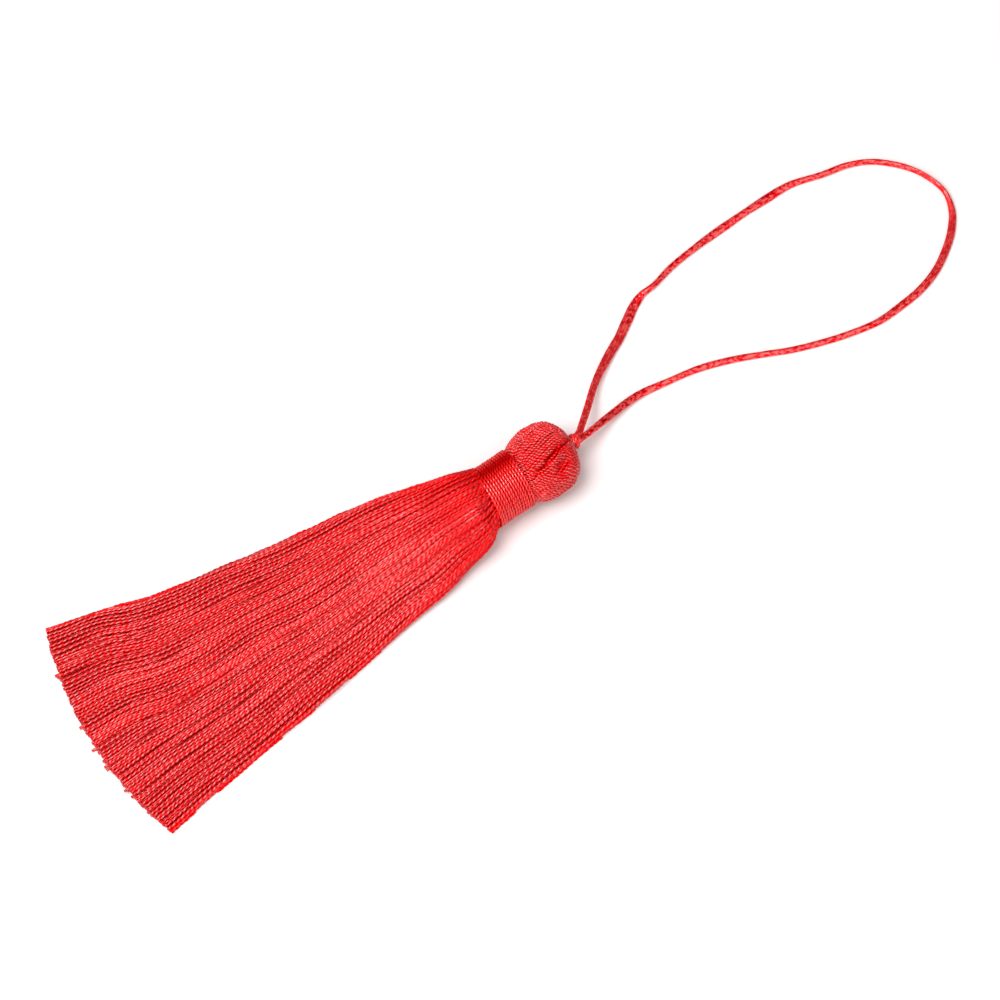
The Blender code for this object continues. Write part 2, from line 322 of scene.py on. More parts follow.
def twisted(centres, outward, radius, pitch, turned, offset, beside=1.0, between=0.0):
    """Rings of twisted yarn along many paths, and how deep each corner lies between threads.

    The section keeps its own angles and turns as a whole, one turn a pitch, from `turned` on. A
    corner is free where its height over the middle is more than 0.8 of the radius, and in the
    groove beside its thread below 0.2. That groove is `beside` deep. The one between the strands
    is `between` times one less the absolute cosine of the corner's own angle. What the two leave
    of the light is multiplied, and what they keep out is painted as shade by the finish.
    """
    side, out = across(centres, outward)
    own = angles_round(YARN_CORNERS)
    reach = two_strands(own, offset)
    angle = own + (2 * np.pi * distance_along(centres) / pitch + turned)[..., None]
    radius = np.broadcast_to(radius, centres.shape[:-1])[..., None] * reach
    rings = ring_points(centres, side, out, radius * np.cos(angle), radius * np.sin(angle))
    free = ease((reach * np.sin(angle) - 0.2) / 0.6)
    groove = 1.0 - (1.0 - beside * (1.0 - free)) * (1.0 - between * (1.0 - np.abs(np.cos(own))))
    return rings, groove


def plain(centres, outward):
    """Rings of round yarn, for threads that lie half hidden. Their twist is left to the finish."""
    side, out = across(centres, outward)
    angle = np.broadcast_to(angles_round(PLAIN_CORNERS), (*centres.shape[:-1], PLAIN_CORNERS))
    radius = PLAIN_SHARE * YARN_RADIUS
    return ring_points(centres, side, out, radius * np.cos(angle), radius * np.sin(angle))


def wander(rng, threads, run, lengths, size):
    """Slow uneven swings along each thread: three sines of random wavelength and phase.

    Their sum's root mean square is the root of 1.5, so it is divided by that.
    """
    shape = (3, threads, 1)
    wavelength = rng.uniform(*lengths, shape)
    phase = rng.uniform(0.0, 2 * np.pi, shape)
    swing = np.sin(2 * np.pi * run / wavelength + phase).sum(axis=0)
    return size * swing / np.sqrt(1.5)


# %% [markdown]
# ## Room for threads
# A tassel has as many threads at its narrow neck as at its wide cut edge. Those without room at
# the surface lie underneath and come up between their neighbours as the fan opens. So each thread
# has a rank. It shows where its rank is below the share of threads that fit, and sinks by one
# layer, and then by another, where it is above it.

# %% Which threads show, and where
GOLDEN = (math.sqrt(5) - 1) / 2  # multiples of it spread evenly, whatever their number
SINKING = 0.10  # share of the ranks that is between two layers
SECOND_LAYER = 1.85  # ranks above this many times the share sink again
SUNK_WIDTH = 0.04  # that a sunk thread takes, as a share of a thread


def room_for(threads, fit, gaps, rng):
    """Place and layer of each thread, by thread and ring.

    `fit` is the share of the threads that fit side by side at each ring. A place is the running
    sum of the widths and gaps up to the thread's own middle, divided by the sum of them all. A
    layer is 0 at the surface, 1 under it and 2 under that.
    """
    rank = ((np.arange(threads) * GOLDEN + rng.normal(0.0, 0.03, threads)) % 1.0)[:, None]
    under = ease((rank - fit) / SINKING)
    deeper = ease((rank - SECOND_LAYER * fit) / SINKING)
    width = SUNK_WIDTH + (1 - SUNK_WIDTH) * (1.0 - under)
    before = np.cumsum(width + gaps, axis=0) - gaps - width / 2
    return before / (width + gaps).sum(axis=0), under + deeper


# %% [markdown]
# ## The skirt's shape
# The loose threads leave the neck as a round bundle, sink to the table and spread into a flat
# fan. Twelve sections hold that shape. Each is a closed line: an arc over the top, an arc below
# and, where the fan lies flat, a low wall at each side.

# %% Sections of the skirt
class Section(NamedTuple):
    """A section across the skirt, in millimetres. Heights are over the table."""
    along: float  # distance from the neck's end, measured along the threads
    left: float  # half width towards +Y
    right: float  # half width towards -Y
    crown: float  # top, at the middle
    shoulder: float  # top, at the edges
    belly: float  # underside, at the middle
    hem: float  # underside, at the edges


SKIRT = np.array((
    Section(-1.4, 4.35, 4.4, 9.7, 5.4, 1.1, 5.4),
    Section(0.0, 4.7, 5.0, 10.0, 5.4, 0.7, 5.4),
    Section(1.8, 5.3, 6.1, 10.2, 5.3, 0.4, 4.8),
    Section(4.0, 6.0, 6.7, 9.5, 4.8, 0.1, 3.8),
    Section(7.0, 7.0, 7.1, 7.8, 3.8, 0.0, 2.4),
    Section(12.0, 8.5, 8.1, 6.1, 2.8, 0.0, 1.3),
    Section(17.0, 9.6, 8.7, 4.9, 2.1, 0.0, 0.7),
    Section(26.0, 10.9, 10.2, 3.7, 1.5, 0.0, 0.2),
    Section(36.0, 12.4, 11.9, 3.1, 1.4, 0.0, 0.1),
    Section(48.0, 14.4, 13.8, 2.5, 1.2, 0.0, 0.0),
    Section(57.0, 16.8, 15.2, 2.3, 1.1, 0.0, 0.0),
    Section(63.7, 18.3, 16.5, 2.1, 1.0, 0.0, 0.0),
))
ROOT_X = NECK_END - 0.5 * MM  # the threads' lengths are measured from here
ARC_SOFTNESS = 10.0 * MM  # below this distance the sections are flat, beyond it round
ARC_SHARE = 1.17  # the cut is a little rounder than an arc about the neck
OUTLINE_POINTS = 120  # on each quarter of a section


def skirt_sizes(along):
    """The sections' sizes, by distance along the threads and column."""
    return smooth_through(SKIRT[:, 0] * MM, SKIRT[:, 1:] * MM, along)


def skirt_outlines(along):
    """Y and Z of the closed section line at each distance along the threads.

    With an angle that runs once round, Y is the half width times its cosine. Z goes with the
    sine from the shoulder up to the crown, and below from the hem down to the belly.
    """
    quarter = np.linspace(0.0, np.pi / 2, OUTLINE_POINTS)
    top = np.concatenate([quarter, np.pi / 2 + quarter[1:]])
    angle = np.concatenate([quarter - np.pi / 2, top, np.pi + quarter])
    over = np.concatenate([np.zeros(OUTLINE_POINTS), np.ones(len(top)), np.zeros(OUTLINE_POINTS)])
    left, right, crown, shoulder, belly, hem = skirt_sizes(along).T[:, :, None]
    cosine, sine = np.cos(angle), np.abs(np.sin(angle))
    y = np.where(cosine > 0, left, right) * cosine
    z = np.where(over > 0, shoulder + (crown - shoulder) * sine, hem + (belly - hem) * sine)
    return y, z


def bow(y, along):
    """How far a section's sides stay behind its middle, so that all threads are as long.

    It is Y squared times the distance, over twice the sum of the distance and the softness, each
    squared. The cut is trimmed a little rounder than that.
    """
    return ARC_SHARE * y * y * along / (2 * (along * along + ARC_SOFTNESS**2))


def read_rows(places, rows, values):
    """Reads one curve for each ring, all at once.

    places is by thread and ring, rows is the share along each ring's curve, and values is what
    the curve holds. Adding the ring's number keeps the curves apart on one long line.
    """
    number = np.arange(rows.shape[0])
    line = (rows * 0.999999 + number[:, None]).ravel()
    return np.interp((np.clip(places, 0, 0.999998) + number[None, :]).ravel(), line,
                     values.ravel()).reshape(places.shape)


# %% [markdown]
# ## The skirt's threads
# The outer threads go all the way round the bundle, as many as fit side by side at the cut edge.
# Partings open between bunches towards the cut, single threads swing, and bunches rise and fall.
# Threads on top get the fine twisted section. Those on the table and inside are coarser, because
# only their ends and the gaps between others show them.

# %% Paths of the outer threads
SKIRT_LENGTH = SKIRT[-1, 0] * MM
THREAD_SPACING = 0.46 * MM
OUTER_THREADS = 154
RING_STEP = 0.21 * MM
LAYER_DEPTH = 0.38 * MM
PARTING_WIDTH = 0.28  # of the widest parting, in threads
CROWDING = 0.42  # unevenness of the places side by side, in threads
BUNCH_RISE = 0.05 * MM
WIDE_BUNCH, NARROW_BUNCH = 2.9, 1.43  # threads to a radian of the two waves of bunches
CUT_SPREAD = 0.13 * MM  # unevenness of the cut
STRAY_SHARE = 0.03
STRAY_LENGTH = 0.75 * MM


def uneven_ends(rng, threads):
    """How much longer each thread is than the rest: a narrow spread, and a few that stick out."""
    offset = np.clip(rng.normal(0.0, CUT_SPREAD, threads), -2 * CUT_SPREAD, 2 * CUT_SPREAD)
    stray = rng.random(threads) < STRAY_SHARE
    return offset + stray * rng.uniform(0.5, 1.0, threads) * STRAY_LENGTH


def stretched(paths, extra, over):
    """Paths lengthened by `extra` along their own last direction, eased in over their last part."""
    run = distance_along(paths)
    ramp = ease((run - run[:, -1:] + over) / over)
    ahead = unit(paths[:, -1] - paths[:, -8])
    return paths + (ramp * extra[:, None])[..., None] * ahead[:, None, :]


def outer_paths():
    """Centres and outward directions of the outer threads, by thread and ring."""
    rng = np.random.default_rng(11)
    start = SKIRT[0, 0] * MM
    along = np.linspace(start, SKIRT_LENGTH, int((SKIRT_LENGTH - start) / RING_STEP))
    y, z = skirt_outlines(along)
    outline = np.stack([y, z], axis=-1)
    run = distance_along(outline)
    fit = run[:, -1] / THREAD_SPACING / OUTER_THREADS
    # Partings: a few wide, most hardly there, each opening from its own distance on.
    opening = PARTING_WIDTH * rng.random((OUTER_THREADS, 1)) ** 5
    opens_at = rng.uniform(2.0, 30.0, (OUTER_THREADS, 1)) * MM
    breath = 1.0 + wander(rng, OUTER_THREADS, along, (14 * MM, 40 * MM), 0.2)
    gaps = opening * ease((along - opens_at) / (20 * MM)) * breath
    crowd = rng.normal(0.0, CROWDING, (OUTER_THREADS, 1))
    place, layer = room_for(OUTER_THREADS, fit, np.maximum(gaps, 0.0) + crowd, rng)
    place = place + wander(rng, OUTER_THREADS, along, (20 * MM, 60 * MM), 0.0005)
    rows = run / run[:, -1:]
    ty, tz = unit(np.gradient(outline, axis=1)).transpose(2, 0, 1)
    path_y, path_z, out_y, out_z = (read_rows(place, rows, v) for v in (y, z, tz, -ty))
    number = np.arange(OUTER_THREADS)[:, None]
    bunch = np.sin(number / WIDE_BUNCH + wander(rng, 1, along, (30 * MM, 70 * MM), 0.8)) \
        + 0.7 * np.sin(number / NARROW_BUNCH + 1.0)
    rise = BUNCH_RISE * bunch * ease(along / (15 * MM)) \
        + wander(rng, OUTER_THREADS, along, (5 * MM, 60 * MM), 0.06 * MM)
    inward = YARN_RADIUS + layer * LAYER_DEPTH - rise
    path_y = path_y - out_y * inward
    path_z = np.maximum(path_z - out_z * inward, YARN_RADIUS)
    x = ROOT_X - along + bow(path_y, np.maximum(along, 0.0))
    paths = np.stack([x, path_y, path_z], axis=-1)
    paths = stretched(paths, uneven_ends(rng, OUTER_THREADS), 8 * MM)
    outward = np.stack([np.zeros_like(out_y), out_y, out_z], axis=-1)
    return paths, outward


skirt_paths, skirt_outward = outer_paths()
print("outer threads, rings each:", skirt_paths.shape[:2])

# %% [markdown]
# ## Colours and finishes
# The silk is one dyed hue. Its colour is painted lighter on the top of each strand and deeper in
# the groove beside it, as painted shade. The tone of each piece's threads adds real differences
# of dyeing and, in places, painted light and shade. The fibres in a strand are finer than any
# mesh, so a node group draws them as slanted lines on the thread's own map. Parallel fibres draw
# their shine out into a streak, which is what the anisotropic setting is for.

# %% A group of nodes for dyed fibres and their painted shade
FIBRES_ROUND = 14  # lines round a thread
FIBRE_SLANT = 0.35  # turns that they make in a millimetre
CREST_GLOSS = 1.5  # what the coat gains from a groove to the top of a strand


def link(tree, source, socket):
    tree.links.new(source, socket)


def set_inputs(node, values):
    """Sets a node's inputs to values given by the inputs' names."""
    for name, value in values.items():
        node.inputs[name].default_value = value


def math_node(tree, operation, *values):
    """A Math node whose inputs are sockets or numbers. Returns its output."""
    node = tree.nodes.new("ShaderNodeMath")
    node.operation = operation
    for socket, value in zip(node.inputs, values):
        if isinstance(value, (int, float)):
            socket.default_value = value
        else:
            link(tree, value, socket)
    return node.outputs[0]


def dyed_fibres():
    """Group: what varies over a dyed strand.

    The crest is the absolute cosine of the turn round the thread, 1 on the top of either strand
    and 0 in the grooves between them, as far as Strands asks for it, times what Groove leaves.
    The tone, from the deep colour to the bright one, is the eased crest plus the input for dyeing
    and painted light, a cloudy noise and the lines of the fibres. The deep colour in the grooves is
    painted shade. The coat is the gloss plus the crest, the cloud and that input, times the eased
    crest.
    """
    tree = bpy.data.node_groups.new("dyed_fibres", "ShaderNodeTree")
    sockets = {"INPUT": {"Vector": ("Map",), "Float": ("Groove", "Dye", "Strands", "Gloss"),
                         "Color": ("Deep", "Bright")},
               "OUTPUT": {"Color": ("Color",),
                          "Float": ("Metallic", "Roughness", "Coat", "Height")}}
    for direction, kinds in sockets.items():
        for kind, names in kinds.items():
            for name in names:
                tree.interface.new_socket(name, in_out=direction, socket_type="NodeSocket" + kind)
    into = tree.nodes.new("NodeGroupInput").outputs
    out = tree.nodes.new("NodeGroupOutput").inputs
    calc = partial(math_node, tree)
    plus = partial(calc, "MULTIPLY_ADD")  # a value times the next one, plus the last
    split = tree.nodes.new("ShaderNodeSeparateXYZ")
    link(tree, into["Map"], split.inputs[0])
    along, around = split.outputs["X"], split.outputs["Y"]
    # Two strands: crests and grooves once every half turn. The grooves, and the places between
    # threads, get the deep colour as painted shade.
    wave = calc("ABSOLUTE", calc("COSINE", calc("MULTIPLY", around, 2 * math.pi)))
    strand = calc("SUBTRACT", 1.0, calc("MULTIPLY", into["Strands"], calc("SUBTRACT", 1.0, wave)))
    crest = calc("MULTIPLY", strand, calc("SUBTRACT", 1.0, into["Groove"]))
    # Fibres: lines round the thread that slant with the distance along it.
    turn = plus(along, FIBRE_SLANT, around)
    lines = calc("SINE", calc("MULTIPLY", turn, 2 * math.pi * FIBRES_ROUND))
    cloud = tree.nodes.new("ShaderNodeTexNoise")
    cloud.noise_dimensions = "2D"
    place = tree.nodes.new("ShaderNodeCombineXYZ")
    link(tree, plus(into["Dye"], 37.0, around), place.inputs["Y"])
    link(tree, calc("MULTIPLY", along, 1.3), place.inputs["X"])
    link(tree, place.outputs[0], cloud.inputs["Vector"])
    set_inputs(cloud, {"Scale": 1.0, "Detail": 5.0, "Roughness": 0.65})
    cloudy = calc("SUBTRACT", cloud.outputs["Fac"], 0.5)
    steep = tree.nodes.new("ShaderNodeMapRange")
    steep.interpolation_type = "SMOOTHSTEP"
    set_inputs(steep, {"From Min": 0.12, "From Max": 0.8})
    link(tree, crest, steep.inputs["Value"])
    eased = steep.outputs["Result"]
    tone = plus(into["Dye"], 0.12, plus(eased, 1.2, -0.1))
    tone = plus(lines, 0.05, plus(cloudy, 0.4, tone))
    tone.node.use_clamp = True
    blend = tree.nodes.new("ShaderNodeMix")
    blend.data_type = "RGBA"
    for source, socket in ((tone, 0), (into["Deep"], 6), (into["Bright"], 7)):
        link(tree, source, blend.inputs[socket])
    link(tree, blend.outputs[2], out["Color"])
    # Silk shines in its own colour, most of all where strands shade each other.
    link(tree, plus(eased, -0.55, 0.95), out["Metallic"])
    link(tree, plus(cloudy, 0.25, 0.40), out["Roughness"])
    gloss = plus(cloudy, 2.2, plus(crest, CREST_GLOSS, into["Gloss"]))
    gloss = plus(into["Dye"], 0.35, gloss)
    gloss.node.use_clamp = True
    link(tree, calc("MULTIPLY", gloss, eased), out["Coat"])
    link(tree, plus(lines, 0.04, calc("SQRT", crest)), out["Height"])
    return tree


FIBRES = dyed_fibres()

# %% Finishes of yarn, binding thread and cord
def silk(name, deep, bright, strands, gloss, roughness, depth):
    """A material for dyed silk. Its node group gives what varies, and the shader keeps the rest.

    strands is how far the finish parts a thread's two strands, with painted shade in the groove
    between them, and 0 where the mesh has all the relief. deep is the colour painted into grooves
    as shade, and bright the colour of the lit tops. gloss is the coat on the top of a strand,
    roughness is the coat's, and depth is the groove's, for the bump.
    """
    material = bpy.data.materials.new(name)
    material.use_nodes = True
    tree = material.node_tree
    shader = tree.nodes["Principled BSDF"]
    group = tree.nodes.new("ShaderNodeGroup")
    group.node_tree = FIBRES
    place = tree.nodes.new("ShaderNodeUVMap")
    place.uv_map = PATTERN_MAP
    link(tree, place.outputs[0], group.inputs["Map"])
    # Groove is painted shade. The other number holds real dyeing as well as painted light and
    # shade.
    for shade in ("Groove", "Dye"):
        attribute = tree.nodes.new("ShaderNodeAttribute")
        attribute.attribute_name = shade.lower()
        link(tree, attribute.outputs["Fac"], group.inputs[shade])
    set_inputs(group, {"Strands": strands, "Gloss": gloss - CREST_GLOSS,
                       "Deep": (*deep, 1.0), "Bright": (*bright, 1.0)})
    bump = tree.nodes.new("ShaderNodeBump")
    set_inputs(bump, {"Strength": 1.0, "Distance": depth})
    link(tree, group.outputs["Height"], bump.inputs["Height"])
    link(tree, bump.outputs[0], shader.inputs["Normal"])
    for output, socket in (("Color", "Base Color"), ("Metallic", "Metallic"),
                           ("Roughness", "Roughness"), ("Coat", "Coat Weight")):
        link(tree, group.outputs[output], shader.inputs[socket])
    tangent = tree.nodes.new("ShaderNodeTangent")
    tangent.direction_type = "UV_MAP"
    tangent.uv_map = PATTERN_MAP
    link(tree, tangent.outputs[0], shader.inputs["Tangent"])
    set_inputs(shader, {"Anisotropic": 0.7, "Anisotropic Rotation": 0.25,
                        "Specular IOR Level": 0.35, "Specular Tint": (1.0, 0.1, 0.1, 1.0),
                        "Coat Roughness": roughness, "Coat IOR": 1.8,
                        "Coat Tint": (1.0, 0.95, 0.92, 1.0)})
    return material


# deep: each finish's painted shade colour for grooves and creases. bright: its lit tops.
YARN = silk("silk_yarn", deep=(0.84, 0.0002, 0.0009), bright=(0.66, 0.034, 0.038),
            strands=0.45, gloss=0.82, roughness=0.32, depth=0.06 * MM)
BINDING = silk("binding_thread", deep=(0.82, 0.0003, 0.0008), bright=(0.95, 0.036, 0.038),
               strands=0.6, gloss=0.95, roughness=0.2, depth=0.05 * MM)
CORD = silk("braided_cord", deep=(0.82, 0.0006, 0.008), bright=(0.88, 0.07, 0.07),
            strands=0.0, gloss=1.05, roughness=0.3, depth=0.01 * MM)

# %% Pieces, and what each node of the part is made of
FINISHES = {"yarn_hank": (YARN, "silk_yarn"), "hanging_loop": (CORD, "braided_cord"),
            "neck_binding": (BINDING, "binding_thread"), "top_collar": (BINDING, "binding_thread")}


def add_piece(name, node, rings, twist=0.0, **shades):
    """Tubes that stand for a node of the part, in its finish, riding on the tassel's one body."""
    material, slot = FINISHES[node]
    mesh = tube_mesh(name, rings, twist, **shades)
    mesh.materials.append(material)
    piece = into_scene(name, mesh)
    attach(piece, "root")
    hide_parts(node)
    faces = len(mesh.polygons)
    print(f"{name}: {faces} faces, {len(mesh.loops) - 2 * faces} triangles")
    return piece


# %% [markdown]
# ## The hanging loop
# The loop is one cord, held by the collar, that lies open on the table. It is a thin, flattish
# braid that has turned over here and there: broad where it lies flat and narrow where it stands
# on its edge. So its width is given along the loop, and its thickness follows, because the amount
# of yarn in it stays the same.

# %% The cord's route and width
# The cord's middle line, in millimetres: X and Y measured, and a height judged by shadows.
LOOP_ROUTE = np.array((
    (5.3, 0.45, 5.45), (6.5, 0.55, 5.5), (8.12, 1.78, 4.8), (10.08, 3.52, 3.7), (14.08, 7.13, 1.8),
    (18.62, 10.09, 0.9), (20.74, 11.22, 0.7), (23.24, 12.87, 0.6), (26.12, 14.68, 0.5),
    (27.58, 15.22, 0.5), (29.06, 15.34, 0.5), (33.2, 16.4, 0.5), (38.9, 17.2, 0.5),
    (44.5, 17.64, 0.5), (50.0, 17.88, 0.5), (55.2, 17.85, 0.5), (59.7, 16.7, 0.5),
    (64.4, 15.7, 0.5), (67.08, 14.46, 0.5), (69.35, 12.65, 0.5), (71.3, 10.4, 0.5),
    (72.8, 7.4, 0.5), (73.4, 4.5, 0.5), (72.7, 1.7, 0.5), (70.8, -0.9, 0.5), (68.26, -3.04, 0.5),
    (65.28, -4.86, 0.5), (61.59, -6.14, 0.5), (57.7, -6.7, 0.5), (53.9, -6.95, 0.5),
    (49.2, -6.25, 0.5), (44.7, -5.1, 0.5), (40.5, -3.7, 0.5), (36.4, -1.9, 0.5),
    (32.34, -0.24, 0.5), (27.96, 1.09, 0.5), (23.27, 1.82, 0.55), (18.31, 2.38, 0.8),
    (12.66, 1.53, 2.1), (8.86, 0.48, 4.0), (6.72, -0.12, 5.3), (5.3, -0.35, 5.4),
)) * MM
ON_TABLE = 0.5 * MM  # height of the route where the cord lies down


class Width(NamedTuple):
    share: float  # of the way round the loop
    across: float  # width of the cord there, in millimetres


CORD_WIDTHS = np.array((
    Width(0.00, 1.00), Width(0.03, 1.10), Width(0.08, 1.16), Width(0.10, 1.32),
    Width(0.13, 1.46), Width(0.155, 1.50), Width(0.168, 1.36), Width(0.183, 0.92),
    Width(0.21, 0.95), Width(0.245, 1.00), Width(0.27, 1.24), Width(0.285, 1.22),
    Width(0.303, 1.07), Width(0.333, 1.32), Width(0.35, 1.14), Width(0.38, 0.92),
    Width(0.40, 0.97), Width(0.42, 0.84), Width(0.465, 0.82), Width(0.485, 0.68),
    Width(0.515, 0.72), Width(0.535, 1.06), Width(0.59, 1.16), Width(0.65, 1.14),
    Width(0.68, 0.97), Width(0.72, 0.94), Width(0.77, 0.92), Width(0.85, 1.00),
    Width(0.867, 0.92), Width(0.90, 1.12), Width(0.935, 1.18), Width(0.965, 1.12),
    Width(1.00, 0.95),
))
GLITTER_AT = (0.0, 0.12, 0.18, 0.44, 0.49, 0.58, 0.63, 1.0)  # share of the way round
GLITTER = (0.3, 0.3, 1.0, 1.0, 0.3, 0.3, 1.0, 1.0)  # how strongly the stitches' painted glints show there; below 1 also painted deeper
CORD_SECTION = 0.90 * MM * MM  # width times thickness, the same all along
CORD_RING_STEP = 0.085 * MM
CORD_CORNERS = 40


def cord_path():
    """Evenly spaced centres of the cord, and its width and thickness at each."""
    rough = distance_along(LOOP_ROUTE)
    line = smooth_through(rough, LOOP_ROUTE, np.linspace(0.0, rough[-1], 2000))
    length = distance_along(line)[-1]
    centres = evenly(line, int(length / CORD_RING_STEP))
    share = np.linspace(0.0, 1.0, len(centres))
    width = smooth_through(CORD_WIDTHS[:, 0], CORD_WIDTHS[:, 1] * MM, share)
    thickness = CORD_SECTION / width
    centres[:, 2] += thickness / 2 - ON_TABLE
    return centres, width, thickness, length


cord_centres, cord_width, cord_thickness, CORD_LENGTH = cord_path()
print(f"cord {CORD_LENGTH / MM:.1f} mm long, {cord_width.min() / MM:.2f} to "
      f"{cord_width.max() / MM:.2f} mm wide")

# %% [markdown]
# The braid's stitches stand in ten bands round the cord and slant one way and the other in turn,
# so they meet in small arrowheads. A triangle wave of the angle gives that slant.

# %% The braided cord
STITCH = 0.34 * MM  # length of one stitch of the braid
BRAID_BANDS = 10
STITCH_SLANT = 0.7  # how far a stitch runs on across its band, in stitches
STITCH_RELIEF = 0.05 * MM
BAND_RELIEF = 0.04 * MM
DYED_STITCHES = 997  # along each band, before their dyes come round again


def braid_place(angle, run):
    """Where a point is on the braid: in bands round the cord, and in stitches along its band.

    The slant is added to the distance, and every second band starts half a stitch on.
    """
    band = angle / (2 * np.pi) * BRAID_BANDS
    slant = np.abs(band - 2 * np.floor(band / 2 + 0.5))
    return band, run / STITCH + STITCH_SLANT * slant + 0.5 * (np.floor(band) % 2)


def stitch_dye(band, stitch):
    """A random tone for every stitch, read from a table by the numbers of its band and stitch.
    The rare, much paler ones are painted glints.
    """
    table = np.random.default_rng(41).exponential(1.2, (BRAID_BANDS, DYED_STITCHES)) - 0.8
    return table[np.floor(band).astype(int) % BRAID_BANDS,
                 np.floor(stitch).astype(int) % DYED_STITCHES]


def add_braid():
    """The cord: an oval carried along the route and raised into stitches, by two rounded sines."""
    up = np.broadcast_to((0.0, 0.0, 1.0), cord_centres.shape)
    side, out = across(cord_centres, up)
    angle = angles_round(CORD_CORNERS)
    run = distance_along(cord_centres)
    roll = 0.5 * np.sin(2 * np.pi * run / (31 * MM)) + 0.3 * np.sin(2 * np.pi * run / (13 * MM))
    place = braid_place(angle - roll[:, None], run[:, None])
    band, stitch = (np.abs(np.sin(np.pi * counted)) for counted in place)
    band, stitch = np.sqrt(band), stitch ** 0.6
    lower = STITCH_RELIEF * (1 - stitch) + BAND_RELIEF * (1 - band)
    wide = (cord_width[:, None] / 2 - lower) * np.cos(angle)
    tall = (cord_thickness[:, None] / 2 - lower) * np.sin(angle)
    rings = ring_points(cord_centres, side, out, wide, tall)
    # Painted light: each stitch's random tone, which also sets its catch, gives painted glints.
    # Over the first stretch from the collar and round the loop's far end the glints are weaker and
    # the colour is painted deeper. The dips between stitches and bands get painted shade.
    glitter = np.interp(run / run[-1], GLITTER_AT, GLITTER)[:, None]
    dye = 2.5 * stitch_dye(*place) * glitter
    catch = (0.62 + 0.14 * dye).clip(0.25, 1.0)
    groove = 1 - ease((stitch - 0.1) / 0.5) * (0.5 + 0.5 * band) * catch
    return add_piece("hanging_loop_braid", "hanging_loop", rings[None],
                     groove=groove.clip(0, 1), dye=dye - 1.0 * (1 - glitter))


loop = add_braid()

# %% Threads of the skirt, on top and below
ON_TOP = (0.215, 0.785)  # share of the outline that the finer threads cover
UNDER_STEP = 3  # the lower threads keep every third ring
LEFT_PALER = 2.4  # painted light, in tone: the left edge paler and glossier
NECK_DEEPER = 2.6  # painted shade, in tone: the threads next to the neck deeper


def skirt_twist(rng, threads):
    """Pitch, starting turn and radius of each thread."""
    pitch = YARN_PITCH * (1.0 + rng.normal(0.0, 0.045, (threads, 1)))
    turned = rng.uniform(0.0, 2 * np.pi, (threads, 1))
    radius = YARN_RADIUS * (1.0 + rng.normal(0.0, 0.07, (threads, 1)))
    return pitch, turned, radius


def add_skirt():
    """The threads on top in three pieces, from left to right, and those on the table in one."""
    rng = np.random.default_rng(12)
    run = distance_along(skirt_paths)
    pitch, turned, radius = skirt_twist(rng, OUTER_THREADS)
    radius = radius * (1.0 + wander(rng, OUTER_THREADS, run, (0.8 * MM, 4 * MM), 0.05))
    turned = turned + wander(rng, OUTER_THREADS, run, (2 * MM, 12 * MM), 0.35)
    first, last = (int(share * OUTER_THREADS) for share in ON_TOP)
    edge = (np.arange(OUTER_THREADS)[:, None, None] - first) / (last - first)
    # Tone: a random share for each thread and along it, plus painted light at the left edge and
    # painted shade next to the neck.
    dye = rng.normal(0.0, 0.4, (OUTER_THREADS, 1, 1)) + LEFT_PALER * ease(1 - edge / 0.2) \
        - NECK_DEEPER * ease(1 - run[..., None] / (20 * MM)) \
        + wander(rng, OUTER_THREADS, run, (0.5 * MM, 2 * MM), 0.6)[..., None]
    thirds = np.array_split(np.arange(first, last), 3)
    for name, threads in zip(("skirt_left", "skirt_middle", "skirt_right"), thirds):
        rings, groove = twisted(skirt_paths[threads], skirt_outward[threads], radius[threads],
                                pitch[threads], turned[threads], SKIRT_OFFSET,
                                beside=0.95, between=0.2)
        add_piece(name, "yarn_hank", rings, groove=groove, dye=dye[threads])
    below = np.setdiff1d(np.arange(OUTER_THREADS), np.arange(first, last))
    rings = plain(skirt_paths[below, ::UNDER_STEP], skirt_outward[below, ::UNDER_STEP])
    add_piece("skirt_underside", "yarn_hank", rings, -1 / YARN_PITCH, groove=0.0,
              dye=dye[below, ::UNDER_STEP])


add_skirt()

# %% Threads inside the skirt
INSIDE_ROWS = 3
INSIDE_FROM = -0.8 * MM
INSIDE_STEP = 1.0 * MM
INSIDE_REACH = 0.985  # share of the half width that they keep within
FIRST_ROW_DROP = 0.06 * MM  # what the first row lies deeper than one layer


